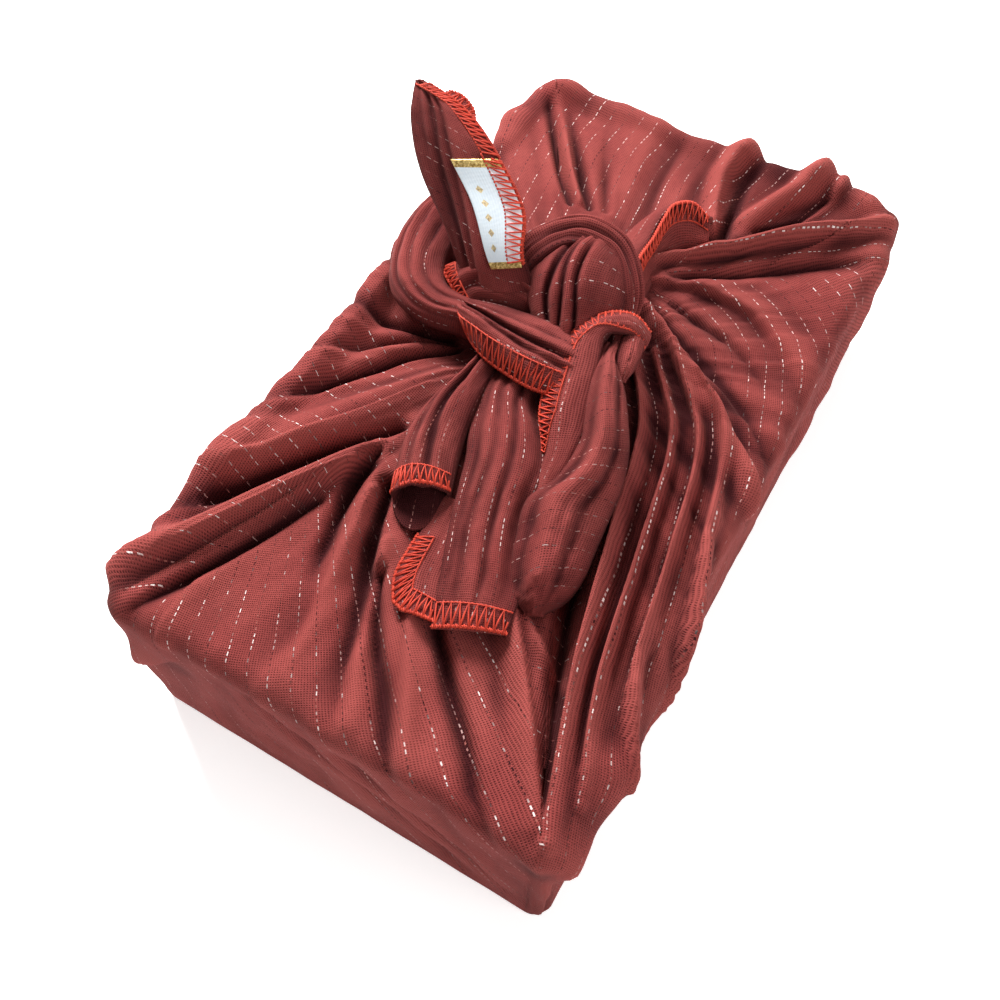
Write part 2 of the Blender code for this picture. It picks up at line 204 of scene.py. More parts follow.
def cloth_finish(name):
    shader = Shader(name, Roughness=0.9, Sheen_Weight=0.1, Sheen_Roughness=0.4)
    shader.surface.inputs["Sheen Tint"].default_value = (1.0, 0.36, 0.30, 1)
    shader.surface.inputs["Specular IOR Level"].default_value = 0.1
    place = shader.add("ShaderNodeTexCoord", output=3)
    weave = shader.add("ShaderNodeUVMap", {"uv_map": "weave"})
    split = shader.add("ShaderNodeSeparateXYZ", {}, [weave])
    u, v = split, Socket(shader, split.output.node.outputs[1])
    u = u + (shader.noise(place, 130, 1.0) - 0.5) * 0.7
    v = v + (shader.noise(place, 110, 1.0) - 0.5) * 0.8
    # The weave: warp and weft as ribs, with the dark gaps of an open gauze between them.
    warp = (u * (2 * math.pi / THREAD_PITCH)).sine() * 0.5 + 0.5
    weft = (v * (2 * math.pi / THREAD_PITCH)).sine() * 0.5 + 0.5
    lint = shader.noise(place, 1100, 3.0, 0.7)
    slub = shader.noise(place, 330, 2.0)
    gap = shader.across((1 - warp) * (1 - weft) + (slub - 0.5) * 0.5, 0.3, 0.8)
    threads = warp.most(weft)
    blotch = shader.across(shader.noise(place, 26, 3.0), 0.35, 0.7)
    tone = shader.mix(blotch, CLOTH_RED, CLOTH_WORN)
    tone = shader.mix((gap * 0.8 + (lint - 0.5) * 0.7).most(0), tone, CLOTH_GAP)
    # Painted light from the attribute read here. Above zero it is painted shade, darkening folds, the cloth
    # round the knot and the strips' edges and undersides. Below zero it is a painted highlight on crests.
    deep = shader.add("ShaderNodeAttribute", {"attribute_name": "deep"}, output=2)
    tone = shader.mix((deep * -0.45).most(0), tone, CLOTH_PAINTED_HIGHLIGHT)
    deep = deep.most(0)
    tone = shader.mix(deep * 0.88, tone, CLOTH_PAINTED_SHADE)
    # The metallic yarn: short dashes, few of them bright, the rest faint or dark. Their brightness is a
    # painted glint: reflection put into the base colour in patches, scaled by the glint attribute and
    # dimmed in painted shade.
    stripe = u / STRIPE_PITCH + 0.5
    beside = abs(stripe.fraction() - 0.5) * STRIPE_PITCH
    step = v / DASH_PITCH + stripe.floor() * 0.37
    cell = shader.add("ShaderNodeCombineXYZ", {}, [stripe.floor(), step.floor()])
    dice = shader.add("ShaderNodeTexWhiteNoise", {"noise_dimensions": "2D"}, {"Vector": cell})
    dash = (beside < 0.13) * (step.fraction() < 0.4 + dice * 0.22)
    glint = shader.add("ShaderNodeAttribute", {"attribute_name": "glint"}, output=2)
    patch = shader.across(shader.noise(place, 75, 2.0), 0.4, 0.62)
    bright = shader.across(dice * 0.6 + patch * 0.45, 0.5, 0.98) * glint * (1 - deep * 0.7)
    faint = shader.mix(patch, DASH_DULL, (0.36, 0.11, 0.09))
    tone = shader.mix(dash * 0.95, tone, shader.mix(bright, faint, DASH_GLINT))
    shader.join(tone, shader.surface.inputs["Base Color"])
    shader.join(0.92 - dash * bright * 0.5, shader.surface.inputs["Roughness"])
    height = threads * 0.55 + lint * 0.3 + slub * 0.35 + shader.noise(place, 190, 2.0) * 0.8
    bump = shader.add("ShaderNodeBump", {}, {"Strength": 0.7, "Distance": 0.0005, "Height": height})
    shader.join(bump, shader.surface.inputs["Normal"])
    return shader.material


cloth_material = cloth_finish("gauze")


# ---------------------------------------------------------------------------------------------
# The wrapped box: the cloth drawn up tight round it from below and gathered to the knot, in
# folds that fan out from there to the box's corners and sides. One sheet, closed underneath.
LENGTH, WIDTH, HEIGHT = 255.0, 142.0, 68.5
CORNER, TOP_EDGE, FOOT_EDGE = 6.0, 6.5, 2.5
KNOT = np.array([0.0, 12.0])
KNOT_RISE = 13.0
AROUND, TOP_RINGS, EDGE_RINGS, SIDE_RINGS, FOOT_RINGS, BASE_RINGS = 700, 96, 7, 30, 3, 2
NEARBY = 12  # places to each side that a place's depth is measured against

# The folds, from the knot outwards, in mm. The path is (x, y) on the top and goes on past the
# top edge by the distance down the side. rise is the height along it, below zero for a hollow;
# left and right are the spread to either side, at the knot and at the far end; lean is how far
# the crest hangs over to the right.
Fold = namedtuple("Fold", "path rise left right lean", defaults=[0])
FOLDS = {
    "pleat by the hollow": Fold(
        [(19, 18), (34, -6), (43, -40), (53, -80), (66, -122)], [4, 6, 8, 8, 3], (4, 5.5), (1.5, 2), 2
    ),
    "second pleat": Fold(
        [(24, 22), (42, -2), (51, -40), (59, -80), (69, -110)],
        [3, 5, 6.5, 6, 2], (3.2, 3.6), (1.2, 1.4), 1.2,
    ),
    "third pleat": Fold(
        [(28, 25), (49, 2), (59, -38), (66, -76), (76, -98)],
        [3, 5, 6.5, 5.5, 2], (3.2, 4), (1.2, 1.4), 1.2,
    ),
    "fourth pleat": Fold(
        [(33, 27), (55, 6), (66, -32), (74, -62), (88, -82)], [2.5, 4, 5.5, 4, 1], (4, 5), (1.3, 1.8), 0.8
    ),
    "hollow": Fold(
        [(28, -22), (37, -48), (43, -68), (50, -86), (58, -104), (65, -119)],
        [-5, -9, -10, -8, -5, -1], (5, 4), (7, 5),
    ),
    "near side of the hollow": Fold(
        [(26, -70), (38, -84), (50, -100), (63, -118)], [5, 4.5, 4, 2], (1.5, 2), (9, 7)
    ),
    "fold inside the hollow": Fold([(31, -72), (41, -79), (52, -85)], [3, 2.5, 1], (1.3, 1.5), (4, 4)),
    "right fan": Fold(
        [(13, 35), (28, 27), (45, 17), (61, 5), (74, -8)], [5, 6, 4.5, 4, 2], (2, 2.6), (7, 8)
    ),
    "crease in the right fan": Fold(
        [(10, 40), (26, 32), (42, 26), (56, 19), (68, 9)], [-3, -3.5, -3, -2, -1], (4, 6), (1.5, 2)
    ),
    "upper crease in the right fan": Fold(
        [(12, 44), (28, 42), (44, 40), (58, 32)], [-2, -2.5, -2, -0.8], (2, 3), (4, 5)
    ),
    "right ridge": Fold(
        [(7, 46), (24, 54), (42, 56), (58, 49), (72, 37)], [3, 4, 4, 3, 1], (11, 12), (2.5, 6), 1
    ),
    "back right band": Fold(
        [(7, 55), (21, 71), (36, 87), (50, 101), (66, 117)], [5, 7, 8, 8, 4], (4, 5), (3.5, 5), 1.5
    ),
    "crease in the back right band": Fold(
        [(16, 62), (29, 76), (43, 91), (56, 104)], [-1.5, -2.5, -2, -1], (1.8, 2.2), (1.5, 2)
    ),
    "crease under the band": Fold(
        [(15, 54), (28, 66), (42, 79), (56, 91), (70, 101)], [-3, -5, -5, -4, -1], (2.5, 3), (6, 7)
    ),
    "first puff": Fold([(17, 82), (11, 99), (9, 114), (14, 131)], [3, 6, 7.5, 4], (5, 9), (2.5, 7)),
    "second puff": Fold([(24, 92), (31, 107), (37, 119), (42, 134)], [3, 6, 8.5, 5], (4.5, 9), (6, 9)),
    "third puff": Fold([(42, 104), (46, 118), (48, 133)], [2, 3, 4], (3, 4), (3, 4)),
    "recess of the puffs": Fold(
        [(21, 82), (19, 96), (17, 112), (20, 126)], [-5, -5, -3, -0.5], (3, 4), (3, 4)
    ),
    "second recess": Fold([(30, 90), (40, 103), (45, 116)], [-3, -4, -3], (2, 3), (2, 3)),
    "far edge": Fold(
        [(-68, 88), (-67, 118), (-35, 123), (-4, 122), (26, 122), (58, 122)],
        [3, 4, 3, 2.8, 3, 3.5], (8, 8), (8, 8),
    ),
    "far corner crease": Fold(
        [(-31, 70), (-43, 85), (-53, 99), (-66, 117)], [-4, -6, -5, -1], (3, 3.5), (4, 5)
    ),
    "second far crease": Fold(
        [(-24, 71), (-34, 85), (-44, 99), (-54, 113)], [-4, -6, -4, -1], (3, 3.5), (3, 4)
    ),
    "ridge between the far creases": Fold(
        [(-28, 71), (-39, 85), (-49, 99), (-60, 115)], [2, 3, 2.5, 1], (3, 4), (2, 3)
    ),
    "third far crease": Fold([(-18, 72), (-26, 87), (-36, 106)], [-2.5, -3, -0.6], (3, 4), (3, 4)),
    "far soft trough": Fold([(-4, 74), (-9, 94), (-12, 118)], [-2, -3, -2], (8, 12), (8, 12)),
    "left edge": Fold(
        [(-70, -100), (-67, -60), (-65, -20), (-66, 24), (-66, 66)], [4, 4.5, 6, 7, 5], (9, 9), (8, 8)
    ),
    "left upper crease": Fold(
        [(-30, -6), (-44, -17), (-56, -33), (-67, -50), (-78, -64)],
        [-5, -7, -6, -1.5, -0.5], (2.5, 3), (5, 6),
    ),
    "crease above the left middle": Fold(
        [(-32, -3), (-47, -9), (-60, -21), (-72, -34)], [-3, -4, -2.5, -0.4], (2, 2.5), (4, 5)
    ),
    "left middle band": Fold(
        [(-28, -18), (-42, -37), (-56, -57), (-71, -77), (-84, -92)],
        [3, 5, 5.5, 2.5, 1], (10, 11), (9, 10),
    ),
    "fold on the left middle band": Fold(
        [(-29, -24), (-42, -43), (-55, -60), (-68, -78)], [1.5, 2.5, 2, 1], (5, 6), (1.2, 1.4)
    ),
    "left lower crease": Fold(
        [(-28, -40), (-39, -53), (-52, -71), (-64, -88), (-75, -101)],
        [-6, -9, -8, -3, -0.5], (2, 2.4), (5, 6),
    ),
    "left lower band": Fold(
        [(-30, -49), (-39, -63), (-50, -81), (-60, -99), (-72, -117)], [4, 6, 7, 7, 6], (5, 7), (4, 7)
    ),
    "fold on the left lower band": Fold(
        [(-30, -53), (-40, -68), (-50, -85), (-60, -103)], [1.5, 2, 2, 1], (4, 5), (1.1, 1.3)
    ),
    "shadow under the band": Fold(
        [(-36, -72), (-46, -93), (-54, -110), (-61, -125)], [-3, -6, -6, -2], (4, 5), (2.5, 2.5)
    ),
    "front flap's edge": Fold([(-49, -97), (-50, -111), (-50, -128)], [1, 2, 1.5], (9, 9), (1.2, 1.2)),
    "side fold": Fold([(-38, 6), (-52, 6), (-64, 13), (-76, 22)], [-4, -5, -2, -0.4], (2.5, 3), (4, 5)),
    "lower side fold": Fold(
        [(-34, -2), (-48, -4), (-62, -6), (-78, -4)], [-3, -5, -2, -0.4], (2.5, 3), (4, 5)
    ),
    "upper side fold": Fold(
        [(-44, 20), (-56, 26), (-66, 36), (-76, 46)], [-3, -4, -1.5, -0.4], (3, 3), (4, 4)
    ),
    "first front trough": Fold([(-30, -50), (-30, -66), (-24, -92)], [-9, -8, -1.5], (4, 5), (3, 4)),
    "ridge in the flap": Fold([(-24, -62), (-20, -84), (-12, -120)], [2.5, 2.5, 1], (4, 6), (2, 3)),
    "second front trough": Fold(
        [(-21, -58), (-15, -76), (-7, -96), (4, -122)], [-8, -9, -6, -1], (3, 5), (5, 8)
    ),
    "second ridge in the flap": Fold([(-12, -74), (-4, -92), (8, -122)], [2.5, 2.5, 1], (4, 6), (2.5, 4)),
    "third front trough": Fold(
        [(-8, -82), (1, -98), (13, -112), (27, -134)], [-9, -8, -5, -1], (3, 6), (5, 7)
    ),
    "third ridge in the flap": Fold([(4, -86), (14, -102), (28, -126)], [2.5, 3, 1], (4, 6), (2, 3)),
    "fourth front trough": Fold(
        [(14, -88), (25, -99), (39, -113), (54, -132)], [-7, -7, -5, -1], (3, 5), (5, 7)
    ),
    "corner layer": Fold([(-104, -117), (-103, -98), (-96, -76)], [2.6, 2, 1], (1.2, 3), (20, 20)),
    "front corner layer": Fold([(-66, -158), (-58, -152), (-50, -140)], [3, 2.4, 1], (18, 18), (1.2, 3)),
    "near corner": Fold([(71, -128), (90, -147), (113, -170)], [1.5, 2.4, 2.4], (13, 13), (13, 13)),
    "near right edge": Fold([(75, -50), (77, -80), (80, -122)], [1.5, 3.6, 4.5], (13, 13), (9, 12)),
    "back side fold": Fold([(52, 132), (30, 155), (0, 176)], [3, 3, 1], (14, 16), (10, 12)),
    "second back side fold": Fold([(-60, 130), (-38, 150), (-8, 168)], [3, 3, 1], (12, 14), (14, 16)),
    "right side fold": Fold([(76, -98), (96, -78), (118, -50)], [3, 3, 1], (12, 14), (16, 20)),
    "second right side fold": Fold([(74, 100), (94, 76), (118, 40)], [3, 3, 1], (14, 16), (12, 16)),
    "left side fold": Fold([(-74, 100), (-94, 74), (-118, 36)], [3, 3, 1], (12, 16), (14, 16)),
    "front side crease": Fold([(-20, -136), (14, -158), (44, -184)], [-1.5, -1.8, -1], (5, 7), (7, 9)),
    "second front side crease": Fold([(8, -138), (34, -158), (58, -180)], [-1.4, -1.6, -1], (5, 6), (6, 7)),
}

# How the yarns run in each part of the cloth, clockwise seen from below, from the far end.
# edge is the fold line that ends the part. A part's yarns follow a line, or fan from a centre,
# which is given with the distance from it at which they lie at their full spacing.
Lie = namedtuple("Lie", "edge line centre", defaults=[None])
FAR_LINE = [(-10, 130), (-13, 105), (-9, 75)]
YARN_BLEND = 4.0  # mm, over which one run of a line gives way to the next
LIES = {
    "far left": Lie([(-30, 44), (-74, 66)], FAR_LINE),
    "left": Lie(FOLDS["left upper crease"].path, [(-78, 12), (-63, -3), (-45, -13)]),
    "left middle": Lie(FOLDS["left lower crease"].path, [(-84, -47), (-60, -49), (-38, -52)]),
    "left lower": Lie(FOLDS["shadow under the band"].path, None, (-6, -76, 52)),
    "front": Lie(FOLDS["near side of the hollow"].path, None, (-68, -25, 95)),
    "hollow": Lie(FOLDS["pleat by the hollow"].path, [(36, -86), (48, -83), (60, -79)]),
    "pleats": Lie(
        FOLDS["crease in the right fan"].path, [(24, 24), (42, 0), (52, -40), (60, -80), (69, -112)]
    ),
    "right": Lie(
        FOLDS["crease under the band"].path, [(10, 66), (34, 62), (54, 50), (64, 30), (72, 4)]
    ),
    "band": Lie([(20, 78), (35, 97), (50, 112), (62, 124)], [(10, 50), (30, 72), (50, 92), (68, 108)]),
    "puffs": Lie([(3, 70), (4, 95), (5, 125)], [(22, 84), (28, 104), (34, 124)]),
    "far": Lie(None, FAR_LINE),
}


def smooth_rows(rows, steps):
    """The rows' numbers on a smooth curve through them, at the given steps."""
    table = np.array(rows, float)
    ends = np.vstack([2 * table[0] - table[1], table, 2 * table[-1] - table[-2]])
    at = np.asarray(steps, float)
    first = np.clip(at.astype(int), 0, len(table) - 2)
    part = (at - first)[:, None]
    before, start, end, after = (ends[first + k] for k in range(4))
    return 0.5 * (
        2 * start
        + (end - before) * part
        + (2 * before - 5 * start + 4 * end - after) * part**2
        + (3 * (start - end) + after - before) * part**3
    )


def beside_line(places, path):
    """For each place: the nearest step on the smooth line, its distance, and the way there."""
    steps = np.linspace(0, len(path) - 1, 10 * (len(path) - 1) + 1)
    line = smooth_rows(path, steps)
    runs = np.diff(line, axis=0)
    lengths = np.hypot(*runs.T)
    nearest = np.zeros(len(places), int)
    least = np.full(len(places), np.inf)
    share = np.zeros(len(places))
    for k, (start, run) in enumerate(zip(line, runs)):
        along = np.clip((places - start) @ run / (run @ run), 0, 1)
        away = ((places - start - along[:, None] * run) ** 2).sum(1)
        closer = away < least
        nearest[closer], least[closer], share[closer] = k, away[closer], along[closer]
    run = runs[nearest]
    offset = places - line[nearest] - share[:, None] * run
    ahead = run / lengths[nearest][:, None]
    sideways = ahead[:, 0] * offset[:, 1] - ahead[:, 1] * offset[:, 0]
    step = steps[nearest] + share * (steps[1] - steps[0])
    return step, np.sqrt(least), sideways, ahead


def fold_shift(places, fold):
    """How far the fold lifts the cloth at each place, and slides it over."""
    step, distance, sideways, ahead = beside_line(places, fold.path)
    progress = step / (len(fold.path) - 1)
    leftness = 0.5 + 0.5 * sideways / np.maximum(distance, 1e-6)
    left, right = (np.interp(progress, (0, 1), spread) for spread in (fold.left, fold.right))
    rise = np.interp(step, range(len(fold.path)), fold.rise)
    out = np.clip(distance / (right + (left - right) * leftness), 0, 1)
    crest = np.cos(out * math.pi / 2) ** 2
    if fold.rise[0] < 0:
        crest = (1 - out) ** 1.7
    rightward = np.column_stack([ahead[:, 1], -ahead[:, 0]])
    over = fold.lean * crest * np.abs(rise) / max(map(abs, fold.rise))
    return rise * crest, rightward * over[:, None]


def outline(count):
    """Points and outward directions round the bundle, evenly spaced, with the first repeated."""
    half_x, half_y = WIDTH / 2 - CORNER, LENGTH / 2 - CORNER
    arc = CORNER * math.pi / 2
    points, ways, walked, at = [(0, -LENGTH / 2)], [(0, -1)], [0], half_x
    straights = [2 * half_y, 2 * half_x, 2 * half_y, half_x]
    middles = [(half_x, -half_y), (half_x, half_y), (-half_x, half_y), (-half_x, -half_y)]
    for quarter, ((x, y), straight) in enumerate(zip(middles, straights)):
        for step in range(13):
            angle = (quarter - 1 + step / 12) * math.pi / 2
            way = (math.cos(angle), math.sin(angle))
            points.append((x + CORNER * way[0], y + CORNER * way[1]))
            ways.append(way)
            walked.append(at + arc * step / 12)
        at += arc + straight
    points.append(points[0])
    ways.append(ways[0])
    walked.append(at)
    steps = np.linspace(0, at, count + 1)
    point = np.column_stack([np.interp(steps, walked, axis) for axis in np.transpose(points)])
    way = np.column_stack([np.interp(steps, walked, axis) for axis in np.transpose(ways)])
    return point, way / np.hypot(*way.T)[:, None]


def wrapped_surface():
    """The bundle's smooth surface in rings, knot to base: places, normals, ways down, flat places."""
    edge, way = outline(AROUND)
    inner, foot = edge - way * TOP_EDGE, edge - way * FOOT_EDGE
    flat_edge = TOP_EDGE * math.pi / 2
    rings = []

    def ring(place, level, tilt, flat):
        level = np.broadcast_to(level, len(place))
        normal = np.column_stack([way * math.sin(tilt), np.full(len(way), math.cos(tilt))])
        down = np.column_stack([way * math.cos(tilt), np.full(len(way), -math.sin(tilt))])
        rings.append((np.column_stack([place, level]), normal, down, flat))

    for share in np.linspace(0, 1, TOP_RINGS):
        place = KNOT + (inner - KNOT) * share
        ring(place, HEIGHT + KNOT_RISE * (1 - share) ** 2, 0, place)
    for tilt in np.linspace(0, math.pi / 2, EDGE_RINGS + 1)[1:]:
        place = inner + way * TOP_EDGE * math.sin(tilt)
        ring(place, HEIGHT - TOP_EDGE * (1 - math.cos(tilt)), tilt, inner + way * TOP_EDGE * tilt)
    for level in np.linspace(HEIGHT - TOP_EDGE, FOOT_EDGE, SIDE_RINGS)[1:]:
        ring(edge, level, math.pi / 2, inner + way * (flat_edge + HEIGHT - TOP_EDGE - level))
    for turn in np.linspace(0, math.pi / 2, FOOT_RINGS + 1)[1:]:
        place = foot + way * FOOT_EDGE * math.cos(turn)
        flat = inner + way * (flat_edge + HEIGHT - TOP_EDGE)
        ring(place, FOOT_EDGE * (1 - math.sin(turn)), math.pi / 2 + turn, flat)
    for share in np.linspace(1, 0, BASE_RINGS + 1)[1:]:
        ring(KNOT + (foot - KNOT) * share, 0, math.pi, inner + way * (flat_edge + HEIGHT))
    return [np.array(column) for column in zip(*rings)], way


def bearing(places):
    """The angle of each place round the knot, from the near end towards the right."""
    return np.arctan2(places[:, 0] - KNOT[0], KNOT[1] - places[:, 1])


def yarn_places(flat, lie):
    """Places across and along the yarns, in mm."""
    if lie.centre:
        away = flat - np.array(lie.centre[:2])
        return np.column_stack([np.arctan2(away[:, 1], away[:, 0]) * lie.centre[2], np.hypot(*away.T)])
    # Each short run of the line gives its own measure, and the nearer runs count for more.
    line = smooth_rows(lie.line, np.linspace(0, len(lie.line) - 1, 6 * len(lie.line)))
    _, nearest, _, _ = beside_line(flat, lie.line)
    total, weights, walked = np.zeros((len(flat), 2)), np.zeros(len(flat)), 0
    for start, end in zip(line, line[1:]):
        length = math.dist(start, end)
        ahead, offset = (end - start) / length, flat - start
        along, sideways = offset @ ahead, ahead[0] * offset[:, 1] - ahead[1] * offset[:, 0]
        distance = np.hypot(sideways, along - np.clip(along, 0, length))
        weight = np.exp((nearest - distance) / YARN_BLEND)
        total += np.column_stack([sideways, walked + along]) * weight[:, None]
        weights += weight
        walked += length
    return total / weights[:, None]


def lies_of(middles):
    """Which lie of the yarns each place on the cloth belongs to."""
    reach, angle = np.hypot(*(middles - KNOT).T), bearing(middles)
    chosen = np.zeros(len(middles), int)
    for lie in list(LIES.values())[:-1]:
        line = smooth_rows(lie.edge, np.linspace(0, len(lie.edge) - 1, 40))
        far = np.hypot(*(line - KNOT).T)
        order = np.argsort(far)
        bound = np.interp(reach, far[order], np.unwrap(bearing(line))[order])
        chosen += angle > bound
    return chosen


def wrapped_cloth():
    (places, normals, downs, flats), way = wrapped_surface()
    rings, columns = places.shape[:2]
    flat = flats.reshape(-1, 2)
    lift, slide = np.zeros(len(flat)), np.zeros((len(flat), 2))
    for fold in FOLDS.values():
        height, over = fold_shift(flat, fold)
        lift += height
        slide += over
    reach = np.hypot(*(flat - KNOT).T)
    angle = bearing(flat)
    round_x, round_y = np.cos(angle), np.sin(angle)
    streak = [
        noise.noise(Vector((x * 9, y * 9, r / 60))) + 0.6 * noise.noise(Vector((x * 23, y * 23, r / 35)))
        for x, y, r in zip(round_x, round_y, reach)
    ]
    soft = [noise.noise(Vector((x / 16, y / 16, 4.0))) for x, y in flat]
    lift += np.array(streak) * 1.1 + np.array(soft) * 0.9
    shape = lift.reshape(rings, columns) * np.clip(places[..., 2] / 12, 0, 1)
    shape[:, -1] = shape[:, 0]
    slide = slide.reshape(rings, columns, 2)
    tangent = np.column_stack([-way[:, 1], way[:, 0]])
    slide_round = (slide * tangent).sum(2, keepdims=True)
    slide_down = (slide * way).sum(2, keepdims=True)
    tangent = np.column_stack([tangent, np.zeros(columns)])
    places = places + normals * shape[..., None] + tangent * slide_round + downs * slide_down
    places[:, -1] = places[:, 0]

    # Painted shade: a place is darkened by how far it lies below the cloth to either side of it, and more
    # in towards the knot; one that stands above them gets a painted highlight.
    around = [shape[:, -NEARBY - 1 : -1], shape, shape[:, 1 : NEARBY + 1]]
    around = np.concatenate(around, axis=1)
    nearby = sum(around[:, k : k + columns] for k in range(0, 2 * NEARBY + 1, 2)) / (NEARBY + 1)
    middle = np.exp(-((reach.reshape(rings, columns) / 56) ** 2))
    deep = np.clip((nearby - shape) / 2.4 + 0.62 * middle, -1, 1)

    corner_flats = cell_corners(flats)
    chosen = np.repeat(lies_of(corner_flats.reshape(-1, 4, 2).mean(1)), 4)
    yarns = np.zeros((len(chosen), 2))
    for k, lie in enumerate(LIES.values()):
        here = chosen == k
        yarns[here] = yarn_places(corner_flats[here], lie)
    # The painted glint on the metallic yarn is full on the top and weak on the sides and base.
    return laid_cloth("wrapped_cloth", places, yarns, np.clip(0.15 + normals[..., 2], 0.1, 1), deep)


def grid_order(mesh, rings, columns):
    """The row and column of each of the grid's points."""
    spots = np.empty(len(mesh.vertices) * 3, np.float32)
    mesh.vertices.foreach_get("co", spots)
    spots = spots.reshape(-1, 3)
    row = np.rint((1 - spots[:, 1]) / 2 * (rings - 1)).astype(int)
    return row, np.rint((spots[:, 0] + 1) / 2 * (columns - 1)).astype(int)


def cell_corners(values):
    """The rows' values at each face's corners, in the order of the grid's faces."""
    mesh = grid_mesh("order", *values.shape[:2])
    row, column = grid_order(mesh, *values.shape[:2])
    corners = np.empty(len(mesh.loops), int)
    mesh.loops.foreach_get("vertex_index", corners)
    bpy.data.meshes.remove(mesh)
    return values[row, column][corners]


def grid_mesh(name, rings, columns):
    work = bmesh.new()
    bmesh.ops.create_grid(work, x_segments=columns - 1, y_segments=rings - 1, size=1)
    mesh = bpy.data.meshes.new(name)
    work.to_mesh(mesh)
    work.free()
    return mesh


def closed_mesh(name, places, yarns, **point_values):
    """A closed surface through the rows of places, with its weave and its values at each place."""
    rings, columns = places.shape[:2]
    mesh = grid_mesh(name, rings, columns)
    row, column = grid_order(mesh, rings, columns)
    mesh.vertices.foreach_set("co", (places[row, column] / 1000).astype(np.float32).ravel())
    weave = mesh.uv_layers.new(name="weave")
    weave.data.foreach_set("uv", yarns.astype(np.float32).ravel())
    for kind, values in point_values.items():
        layer = mesh.attributes.new(kind, "FLOAT", "POINT")
        layer.data.foreach_set("value", values[row, column].astype(np.float32))
    work = bmesh.new()
    work.from_mesh(mesh)
    bmesh.ops.remove_doubles(work, verts=work.verts, dist=1e-6)
    bmesh.ops.recalc_face_normals(work, faces=work.faces)
    work.to_mesh(mesh)
    work.free()
    mesh.shade_smooth()
    return mesh


def laid_cloth(name, places, yarns, glints, painted_shades):
    """A piece of the cloth. glints is how strong the painted glint on its metallic yarns is at each place,
    and deeps the painted shade at each place, below zero for a painted highlight on a crest."""
    mesh = closed_mesh(name, places, yarns, glint=glints, deep=painted_shades)
    return finished(name, mesh, cloth_material)


def finished(name, mesh, material):
    """The piece as an object with its finish, riding with the bundle."""
    mesh.materials.append(material)
    piece = bpy.data.objects.new(name, mesh)
    bpy.context.scene.collection.objects.link(piece)
    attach(piece, "root")
    return piece


wrapped = wrapped_cloth()
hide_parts("cloth")


